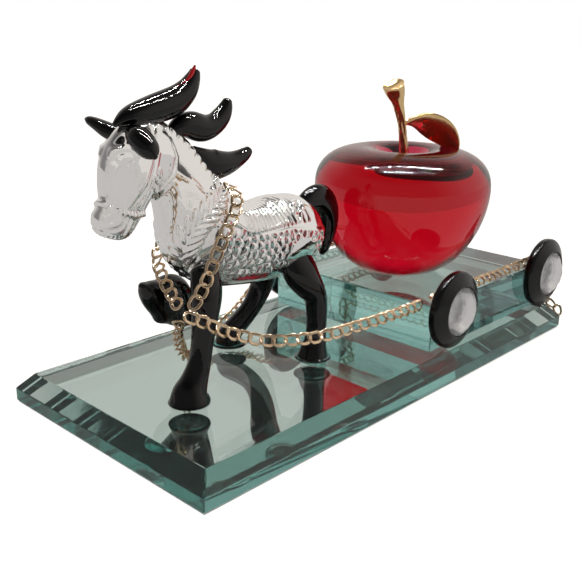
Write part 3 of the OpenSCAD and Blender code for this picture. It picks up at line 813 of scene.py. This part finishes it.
def head_relief(x, y, z, n):
    """Bridle, eyes, nostrils and mouth."""
    h = np.zeros(x.shape)
    head = step(-x, 55.0, 2.0)
    side = step(np.abs(n[..., 1]), 0.25, 0.3)
    band, run, _ = ridge(x, z, NOSEBAND, 0.55)
    beads = 0.6 + 0.4 * np.abs(np.sin(run * math.pi / 0.9))
    h += 0.66 * band * beads * head
    for path, width, lift in ((CHEEK_STRAP, 0.6, 0.36), (JAW_STRAP, 0.5, 0.26), (BROW_BAND, 0.5, 0.26)):
        strap, _, _ = ridge(x, z, path, width)
        h += lift * strap * side
    # eye: a ball under a heavy lid, with a crease round it
    h += 0.40 * near(x, z, -63.9, 61.9, 1.3, 0.8, 20) * side
    h -= 0.20 * np.exp(-((near(x, z, -63.9, 61.9, 1.3, 0.8, 20) - 0.16) / 0.10) ** 2) * side
    lid, _, _ = ridge(x, z, [(-66.0, 62.2), (-64.6, 63.5), (-62.8, 63.4), (-61.6, 62.2)], 0.42)
    h += 0.36 * lid * side
    # cheek bone and jaw
    h += 0.35 * near(x, z, -60.6, 57.2, 2.6, 3.4) * side
    h -= 0.30 * near(x, z, -64.6, 57.4, 1.3, 3.2, 14) * side
    # nostril, mouth and chin
    h -= 0.55 * near(x, z, -67.4, 49.9, 0.75, 0.5, 35) * step(np.abs(n[..., 1]), 0.2, 0.3)
    h += 0.12 * np.exp(-((near(x, z, -67.4, 49.9, 1.2, 0.95, 35) - 0.5) / 0.16) ** 2) * side
    mouth, _, _ = ridge(x, z, [(-69.2, 47.6), (-67.4, 48.0), (-65.6, 48.6), (-64.4, 50.0)], 0.28)
    h -= 0.55 * mouth * head
    rough = np.sin(x * 6.1 + y * 2.2) * np.sin(y * 5.3 - x * 1.7)
    h += 0.14 * rough * near(x, z, -66.0, 45.9, 3.4, 0.9)
    # leaf at the throat lash
    for dx, dz, turn in ((0, 2.2, 1.9), (0.6, 0, 1.7), (0, -2.2, 1.5), (-1.1, 1.0, 2.3), (-0.9, -1.2, 2.1)):
        h += 0.35 * petal(x, z, (-56.0 + dx, 56.0 + dz), turn, 1.5, 0.55) * side
    return h * head


def body_rings(sides=280, gap=0.27):
    """Rings of the horse's clear body with its moulded relief."""
    rows = relax(through(BODY, 40), 90)
    travel = np.maximum(np.linalg.norm(np.diff(rows[:, 0:2], axis=0), axis=1),
                        np.linalg.norm(np.diff(rows[:, 2:4], axis=0), axis=1))
    length = np.concatenate([[0], np.cumsum(travel)])
    want = np.arange(0, length[-1], gap)
    rows = np.stack([np.interp(want, length, rows[:, c]) for c in range(5)], 1)
    middle = np.stack([(rows[:, 0] + rows[:, 2]) / 2, np.full(len(rows), HORSE_Y),
                       (rows[:, 1] + rows[:, 3]) / 2], 1)
    up = np.stack([(rows[:, 2] - rows[:, 0]) / 2, np.zeros(len(rows)), (rows[:, 3] - rows[:, 1]) / 2], 1)
    angle = 2 * np.pi * np.arange(sides) / sides
    rings = (middle[:, None] + up[:, None] * np.sin(angle)[None, :, None]
             + rows[:, 4, None, None] * np.cos(angle)[None, :, None] * np.array((0, 1.0, 0)))
    return rings


def normals(rings):
    """Outward normals of a closed tube of rings."""
    along = np.gradient(rings, axis=0)
    around = (np.roll(rings, -1, 1) - np.roll(rings, 1, 1)) / 2
    n = unit(np.cross(around, along))
    outward = rings - rings.mean(1, keepdims=True)
    flip = np.sign((n * outward).sum(-1).mean())
    return n * flip


def make_body():
    rings = body_rings()
    n = normals(rings)
    rings = rings + n * relief(rings, n)[..., None]
    points, faces = skin(rings)
    put("horse_crystal", points, faces, CRYSTAL, "clear_crystal", "horse_body")


make_body()


# ---- black glass -------------------------------------------------------------------------

def limb(name, node, stations, **how):
    """A drawn limb of black glass in place of its CAD node."""
    flat_end = how.get("foot") is not None
    rings = dome(tube(stations, **how), last=not flat_end)
    points, faces = skin(rings)
    put(name, points, faces, BLACK, "black_glass", node)


def midline(rows, dy=0.0):
    """Stations in the horse's middle plane from rows of x, z, half depth and half width."""
    return [[r[0], HORSE_Y + dy, r[1], r[2], r[3]] for r in rows]


DOWN = (0, 0, -1)

y = HORSE_Y - 7.2
limb("leg_front_left", "foreleg_left", [
    [-45.6, y + 1.2, 35.5, 3.6, 2.6], [-46.2, y, 31.0, 4.0, 3.0], [-47.4, y - 0.6, 25.5, 3.1, 2.9],
    [-48.5, y - 1, 20.0, 2.5, 2.5], [-49.6, y - 1.2, 15.5, 2.6, 2.6],
    [-51.3, y - 1.3, 11.8, 3.2, 3.1], [-52.4, y - 1.3, 9.6, 4.1, 3.9],
    [-52.6, y - 1.3, HOOF_Z, 4.8, 4.5]
], foot=DOWN)

y = HORSE_Y + 6
limb("leg_front_right", "foreleg_right", [
    [-53.4, y, 31.0, 1.0, 1.4], [-52.2, y + 0.2, 29.8, 2.4, 2.5],
    [-49.8, y + 0.5, 28.0, 4.0, 3.3], [-46.7, y + 0.8, 26.6, 6.0, 3.8],
    [-44.1, y + 1.1, 24.6, 5.8, 3.8], [-42.0, y + 1.3, 22.0, 4.2, 3.4],
    [-40.5, y + 1.4, 20.5, 3.0, 3.0]
])

y = HORSE_Y - 7.6
limb("leg_hind_left", "hindleg_left", [
    [-17.0, y + 1.6, 35.0, 4.6, 2.4], [-16.8, y - 0.2, 30.5, 5.0, 3.2],
    [-14.8, y - 1.4, 26.6, 4.0, 3.2], [-12.8, y - 2.2, 23.4, 3.0, 2.9],
    [-12.4, y - 2.5, 19.0, 2.7, 2.7], [-12.6, y - 2.6, 13.0, 2.6, 2.6],
    [-13.2, y - 2.6, 9.8, 3.4, 3.3], [-13.6, y - 2.6, HOOF_Z, 4.0, 3.9]
], foot=DOWN)

y = HORSE_Y + 7.4
limb("leg_hind_right", "hindleg_right", [
    [-12.0, y - 1.6, 34.0, 4.6, 2.4], [-12.4, y + 0.4, 29.5, 4.6, 3.2],
    [-11.6, y + 1.8, 25.0, 3.6, 3.2], [-12.2, y + 2.6, 20.6, 3.0, 2.9],
    [-14.8, y + 3.2, 16.0, 2.6, 2.6], [-18.6, y + 3.6, 12.6, 2.7, 2.7],
    [-21.4, y + 3.8, 10.6, 2.9, 2.9], [-22.6, y + 3.8, 9.2, 3.3, 3.2],
    [-22.7, y + 3.8, HOOF_Z, 3.6, 3.4]
], foot=DOWN)

limb("tail_black", "tail", midline([
    [-8.5, 42.6, 2.2, 2.0], [-5.6, 44.2, 3.4, 2.5], [-2.2, 44.6, 4.2, 2.8],
    [0.5, 43.0, 4.3, 2.9], [2.1, 40.0, 3.7, 2.8], [2.4, 36.4, 2.9, 2.5],
    [1.8, 33.2, 2.1, 2.0], [1.0, 30.7, 1.4, 1.4], [0.7, 29.8, 0.8, 0.8]
]))

y = HORSE_Y
limb("ear_black_left", "ear_left", [
    [-60.6, y - 2.6, 66.4, 2.0, 1.8], [-61.0, y - 4.6, 65.8, 2.5, 2.3],
    [-61.2, y - 6.8, 64.6, 2.5, 2.3], [-61.2, y - 8.6, 63.4, 2.0, 1.8],
    [-61.2, y - 9.8, 62.6, 0.6, 0.6]
], side=(0, 0, 1))
limb("ear_black_right", "ear_right", [
    [-61.0, y + 2.4, 65.6, 1.9, 1.7], [-61.6, y + 4.6, 66.2, 2.1, 1.7],
    [-62.3, y + 7.0, 67.2, 1.8, 1.3], [-63.0, y + 9.2, 68.0, 1.2, 0.9],
    [-63.3, y + 10.0, 68.2, 0.4, 0.4]
], side=(0, 0, 1))

limb("mane_black_forelock", "mane_forelock", midline([
    [-63.4, 68.0, 0.5, 0.6], [-61.9, 68.7, 1.2, 1.6], [-60.0, 69.3, 2.0, 2.5],
    [-57.0, 69.9, 2.6, 2.9], [-52.4, 70.7, 3.1, 3.0], [-48.2, 71.8, 3.1, 2.8],
    [-45.0, 73.8, 2.5, 2.4], [-43.3, 76.0, 1.8, 1.7], [-42.6, 77.5, 1.2, 1.2]
]))
limb("mane_black_upper", "mane_upper", midline([
    [-49.0, 65.8, 1.3, 1.5], [-47.0, 66.5, 2.2, 2.3],
    [-44.0, 66.6, 3.0, 2.6], [-40.8, 65.6, 3.0, 2.6],
    [-37.4, 66.2, 2.5, 2.3], [-35.0, 68.0, 2.2, 2.0], [-33.8, 69.8, 1.6, 1.6],
    [-33.3, 71.0, 1.1, 1.1]
]))
limb("mane_black_lower", "mane_lower", midline([
    [-43.4, 61.2, 1.0, 1.0], [-41.2, 59.4, 2.3, 1.9], [-38.6, 57.6, 3.5, 2.4],
    [-35.8, 57.2, 3.2, 2.5], [-32.6, 57.4, 2.5, 2.2], [-29.8, 58.1, 1.9, 1.8],
    [-27.8, 58.9, 1.5, 1.5], [-26.8, 59.5, 1.1, 1.1]
]))

points, faces = skin(dome(tube(midline([
    [-50.4, 73.8, 0.3, 0.3], [-48.4, 74.5, 0.35, 0.35], [-46.6, 75.1, 0.4, 0.4],
    [-45.0, 76.2, 0.45, 0.45], [-43.9, 77.6, 0.5, 0.5], [-43.2, 78.8, 0.25, 0.25]
], -0.8), sides=16)))
put("mane_thread_red", points, faces, THREAD, "red_thread_glass", "mane_red_thread")


def make_hoof_glue(name, node):
    """A clear meniscus round a hoof."""
    lo, hi = box(node)
    c = (lo + hi) / 2
    r = (hi[0] - lo[0]) / 2
    rings = lathe([(0.01, lo[2] - OVERLAP), (r + 1.1, lo[2] - OVERLAP), (r + 1.0, lo[2] + 0.04),
                   (r + 0.75, lo[2] + 0.12), (r + 0.55, hi[2] + 0.05), (r + 0.4, hi[2] + 0.25),
                   (0.01, hi[2] + 0.25)], 64, (c[0], c[1], 0))
    points, faces = skin(rings)
    put(name, points, faces, GLUE, "clear_adhesive", node)


for where in ("front", "hind_left", "hind_right"):
    make_hoof_glue(f"hoof_glue_{where}", f"hoof_bond_{where}")


# ---- chain -------------------------------------------------------------------------------

LINK_LENGTH = 3.9
LINK_WIDTH = 3.0
WIRE = 0.5
LINK_PITCH = LINK_LENGTH - 2 * WIRE - 0.08
LINK_STROKE = 0.37      # half the breadth of the two wires side by side
LINK_WAIST = 0.17       # half their thickness at the groove between them
LINK_TWIST = 28         # how far each end of a link turns out of its middle plane
LINK_SWAY = 16          # how far a link rolls to either side, in degrees
CHAIN_SEED = 5
WITHERS_Z = 48.0        # above this the links turn to lie on the withers
WITHERS_LIFT = np.array((0.4, 0.4, 1.0))
FACING = {              # the way the links' open side looks
    "neck_left": (-0.6, -0.7, 0.4), "neck_right": (-0.8, -0.3, 0.6),
    "trace_left": (-0.5, -0.8, 0.5), "trace_right": (-0.5, -0.8, 0.5),
    "rail_left": (0, -0.6, 0.8), "rail_right": (0, 0.6, 0.8), "rear": (1, 0, 0.3),
}

ROUTES = {
    "neck_left": [
        (-34.4, 1, 52.8), (-35.8, -3.5, 51.3), (-38.3, -6.2, 48.7), (-42, -7.5, 45.3), (-44.9, -7.8, 41.2),
        (-47, -8, 37.8), (-49.4, -8.4, 34.4), (-51.8, -8.4, 31.4), (-53.4, -8, 29.6), (-54.4, -7.2, 28.2)],
    "trace_right": [
        (-54.7, -6.2, 26.6), (-54, -4.4, 24.8), (-51.6, -1.6, 20.8), (-47.6, 2, 15.6), (-42.6, 6.4, 11.4),
        (-38, 10, 9.4), (-33, 13, 8.9), (-28.8, 15.6, 8.9), (-24.4, 18.2, 9.1), (-19, 19.6, 10),
        (-10, 22, 12.4), (-2, 24.2, 16), (4, 25.6, 19.4), (9, 26.3, 21.4)],
    "neck_right": [
        (-34.8, 4.4, 52.6), (-36.6, 8.8, 49.9), (-39.6, 11.3, 46), (-43.4, 11.6, 42), (-47.2, 9.9, 38.6),
        (-50, 7, 36.7), (-52, 3.6, 35.4), (-52.9, 1, 33.8), (-53.7, -2, 32.1), (-54.5, -5, 30.6),
        (-55.6, -7, 29.8)],
    "trace_left": [
        (-55.2, -8.6, 28.8), (-53.4, -9.8, 27.8), (-50.8, -10.6, 26.4), (-47, -11.4, 24), (-42.6, -12.8, 22),
        (-37.6, -15.4, 20.3), (-31.6, -19.4, 20.1), (-25, -22.4, 20.2), (-16, -24.4, 20.7),
        (-6, -25.8, 21), (4, -26.2, 21), (9.5, -26.1, 21)],
    "rail_left": [(12, -26.1, 21.2), (28, -26.1, 21.2), (50, -26.1, 21.2), (67, -26.1, 21.2)],
    "rail_right": [(12, 26.1, 21.2), (28, 26.1, 21.2), (50, 26.1, 21.2), (67, 26.1, 21.2)],
    "rear": [
        (69.4, -26, 21.3), (70.9, -26, 19), (71.2, -26, 14), (72.3, -26.1, 10.6), (74, -26.6, 8),
        (75.3, -29, 6), (75.8, -31.6, 3.8), (75.6, -29, 2), (75, -23, 1.6), (74.6, -12, 1.6),
        (74.6, 0, 1.6), (74.6, 12, 1.6), (75, 23, 1.6), (75.6, 29, 2), (75.8, 31.6, 3.8),
        (75.3, 29, 6), (74, 26.6, 8), (72.3, 26.1, 10.6), (71.2, 26, 14), (70.9, 26, 19),
        (69.4, 26, 21.3)],
}


def link_rings(steps=44, sides=14):
    """One link: two wires side by side, bent to an oval whose ends twist opposite ways."""
    r = LINK_WIDTH / 2 - LINK_STROKE
    s = (LINK_LENGTH - LINK_WIDTH) / 2
    straight, bend = 2 * s, math.pi * r
    total = 2 * (straight + bend)
    centres, outs = [], []
    for d in np.arange(steps) / steps * total:
        half = 1 if d < total / 2 else -1
        d -= 0 if half > 0 else total / 2
        a = min(max((d - straight) / r, 0), math.pi) - math.pi / 2
        x = -s + d if d < straight else s + r * math.cos(a)
        centres.append((half * x, half * r * math.sin(a), 0))
        outs.append((half * math.cos(a), half * math.sin(a), 0))
    centres, outs = np.array(centres), np.array(outs)
    angle = 2 * np.pi * np.arange(sides) / sides
    mean, swing = (LINK_STROKE + LINK_WAIST) / 2, (LINK_STROKE - LINK_WAIST) / 2
    radius = (mean + swing * np.cos(2 * angle))[None]
    rings = (centres[:, None] + (radius * np.cos(angle))[..., None] * outs[:, None]
             + (radius * np.sin(angle))[..., None] * np.array((0, 0, 1.0)))
    turn = math.radians(LINK_TWIST) * np.clip(rings[..., 0] / (LINK_LENGTH / 2), -1, 1)
    y, z = rings[..., 1].copy(), rings[..., 2].copy()
    rings[..., 1] = y * np.cos(turn) - z * np.sin(turn)
    rings[..., 2] = y * np.sin(turn) + z * np.cos(turn)
    return rings


def ring_loop(rings):
    """Faces of a tube whose last ring meets its first."""
    count, sides = rings.shape[:2]
    k = np.arange(sides)
    after = (k + 1) % sides
    faces = []
    for i in range(count):
        a, b = i * sides, ((i + 1) % count) * sides
        faces += np.stack([a + k, a + after, b + after, b + k], 1).tolist()
    return rings.reshape(-1, 3), np.array(faces)


def make_chain(name, route, rng):
    line = through(route, 8)
    length = np.concatenate([[0], np.cumsum(np.linalg.norm(np.diff(line, axis=0), axis=1))])

    def at(s):
        return np.array([np.interp(s, length, line[:, c]) for c in range(3)])

    shape, link_faces = ring_loop(link_rings())
    points, faces = [], []
    count = int(length[-1] / LINK_PITCH)
    for i in range(count):
        s = (i + 0.5) * LINK_PITCH
        t = unit(at(min(s + 0.8, length[-1])) - at(max(s - 0.8, 0)))
        face = np.array(FACING[name], float) + WITHERS_LIFT * np.clip((at(s)[2] - WITHERS_Z) / 3, 0, 1)
        n = unit(face - (face @ t) * t)
        w = np.cross(n, t)
        roll = math.radians(rng.uniform(-LINK_SWAY, LINK_SWAY))
        n, w = n * math.cos(roll) + w * math.sin(roll), w * math.cos(roll) - n * math.sin(roll)
        faces.append(link_faces + sum(map(len, points)))
        points.append(shape @ np.array((t, w, n)) + at(s))
    put(f"links_{name}", np.concatenate(points), np.concatenate(faces).tolist(),
        GOLD_CHAIN, "gold_chain", f"chain_{name}")


chain_rng = np.random.default_rng(CHAIN_SEED)
for name, route in ROUTES.items():
    make_chain(name, route, chain_rng)


# ---- nodes that keep their CAD shape -----------------------------------------------------

for name, material in (("mirror_silver", MIRROR), ("mirror_paint", BACKING)):
    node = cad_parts[name]
    node.data.materials.clear()
    node.data.materials.append(material)


# ---- stage and light ---------------------------------------------------------------------

FLOOR_GLOW = 0.28       # what the floor adds to the light that the object gets
FLOOR_WHITE = 0.9       # keeps the floor itself white to the camera
SKY_SIDE = 0.6          # how far the tent's bright part is turned to the right of the view
ROOF_START = 0.5        # sine of the height at which the tent starts to darken
ROOF_END = 0.85
ROOF_SHADE = 0.35
SKY_DARK = (0.20, 0.195, 0.19, 1)
SKY_BRIGHT = (0.70, 0.665, 0.625, 1)
SKY_DARK_END = 0.3      # places on the ramp from the dark side of the tent to the bright one
SKY_BRIGHT_START = 0.7


def make_floor():
    size = 3000
    mesh = bpy.data.meshes.new("floor")
    mesh.from_pydata([(-size * MM, -size * MM, 0), (size * MM, -size * MM, 0),
                      (size * MM, size * MM, 0), (-size * MM, size * MM, 0)], [], [[0, 1, 2, 3]])
    floor = bpy.data.objects.new("floor", mesh)
    bpy.context.scene.collection.objects.link(floor)
    paint = Paint("floor_white", Base_Color=(0.8, 0.8, 0.8, 1), Roughness=0.9)
    paint.shader.inputs["Emission Color"].default_value = (1, 0.98, 0.95, 1)
    seen = paint.nodes.new("ShaderNodeLightPath").outputs["Is Camera Ray"]
    paint.drive("Emission Strength", paint.spread_full(seen, FLOOR_GLOW, FLOOR_WHITE))
    mesh.materials.append(paint.material)
    floor.location = (0, 0, -0.05 * MM)


def make_world():
    """A light tent: pale behind the object and to its right, darker overhead and elsewhere."""
    world = bpy.data.worlds.new("tent")
    bpy.context.scene.world = world
    world.use_nodes = True
    nodes, links = world.node_tree.nodes, world.node_tree.links
    sky = nodes["Background"]
    where = nodes.new("ShaderNodeTexCoord")
    forward, right, _ = heading_axes(CAMERA_YAW, 0, 0)
    dot = nodes.new("ShaderNodeVectorMath")
    dot.operation = "DOT_PRODUCT"
    dot.inputs[1].default_value = (forward + right * SKY_SIDE).normalized()
    links.new(where.outputs["Generated"], dot.inputs[0])
    ramp = nodes.new("ShaderNodeValToRGB")
    shift = nodes.new("ShaderNodeMapRange")
    shift.inputs["From Min"].default_value = -1
    links.new(dot.outputs["Value"], shift.inputs["Value"])
    links.new(shift.outputs["Result"], ramp.inputs["Fac"])
    ramp.color_ramp.elements[0].color = SKY_DARK
    ramp.color_ramp.elements[0].position = SKY_DARK_END
    ramp.color_ramp.elements[1].color = SKY_BRIGHT
    ramp.color_ramp.elements[1].position = SKY_BRIGHT_START
    part = nodes.new("ShaderNodeSeparateXYZ")
    links.new(where.outputs["Generated"], part.inputs[0])
    roof = nodes.new("ShaderNodeMapRange")
    roof.interpolation_type = "SMOOTHSTEP"
    roof.inputs["From Min"].default_value = ROOF_START
    roof.inputs["From Max"].default_value = ROOF_END
    roof.inputs["To Min"].default_value = 1
    roof.inputs["To Max"].default_value = ROOF_SHADE
    links.new(part.outputs["Z"], roof.inputs["Value"])
    shade = nodes.new("ShaderNodeVectorMath")
    shade.operation = "SCALE"
    links.new(ramp.outputs["Color"], shade.inputs[0])
    links.new(roof.outputs["Result"], shade.inputs["Scale"])
    seen = nodes.new("ShaderNodeLightPath")
    mix = nodes.new("ShaderNodeMix")
    mix.data_type = "RGBA"
    links.new(seen.outputs["Is Camera Ray"], mix.inputs[0])
    links.new(shade.outputs["Vector"], mix.inputs[6])
    mix.inputs[7].default_value = (1, 1, 1, 1)
    links.new(mix.outputs[2], sky.inputs["Color"])
    sky.inputs["Strength"].default_value = 1.0


LAMP_HEIGHT = 330
LAMP_LENGTH = 9
LAMP_WIDTH = 3


def lamp_row(name, count, ahead, start, end, power):
    """A row of short strip lamps across the view; ahead is how far past the origin it hangs."""
    forward, right, _ = heading_axes(CAMERA_YAW, 0, 0)
    for i in range(count):
        data = bpy.data.lights.new(f"{name}_{i}", "AREA")
        data.shape = "RECTANGLE"
        data.size, data.size_y = LAMP_LENGTH * MM, LAMP_WIDTH * MM
        data.energy = power
        light = bpy.data.objects.new(f"{name}_{i}", data)
        bpy.context.scene.collection.objects.link(light)
        across = start + (end - start) * i / (count - 1)
        light.location = (forward * ahead + right * across + Vector((0, 0, LAMP_HEIGHT))) * MM
        light.rotation_euler = (0, 0, math.radians(CAMERA_YAW - 90))
        light.visible_camera = False
        light.visible_diffuse = False


make_floor()
make_world()
lamp_row("lamp_far", 20, 76, -125, 175, 0.05)
lamp_row("lamp_near", 16, -26, -90, 150, 0.035)

scene = bpy.context.scene
scene.view_settings.view_transform = "Standard"
scene.cycles.max_bounces = 24
scene.cycles.transmission_bounces = 20
scene.cycles.glossy_bounces = 10
scene.cycles.diffuse_bounces = 4
scene.cycles.transparent_max_bounces = 16
scene.cycles.sample_clamp_indirect = 6
scene.cycles.use_denoising = True

bpy.context.view_layer.update()
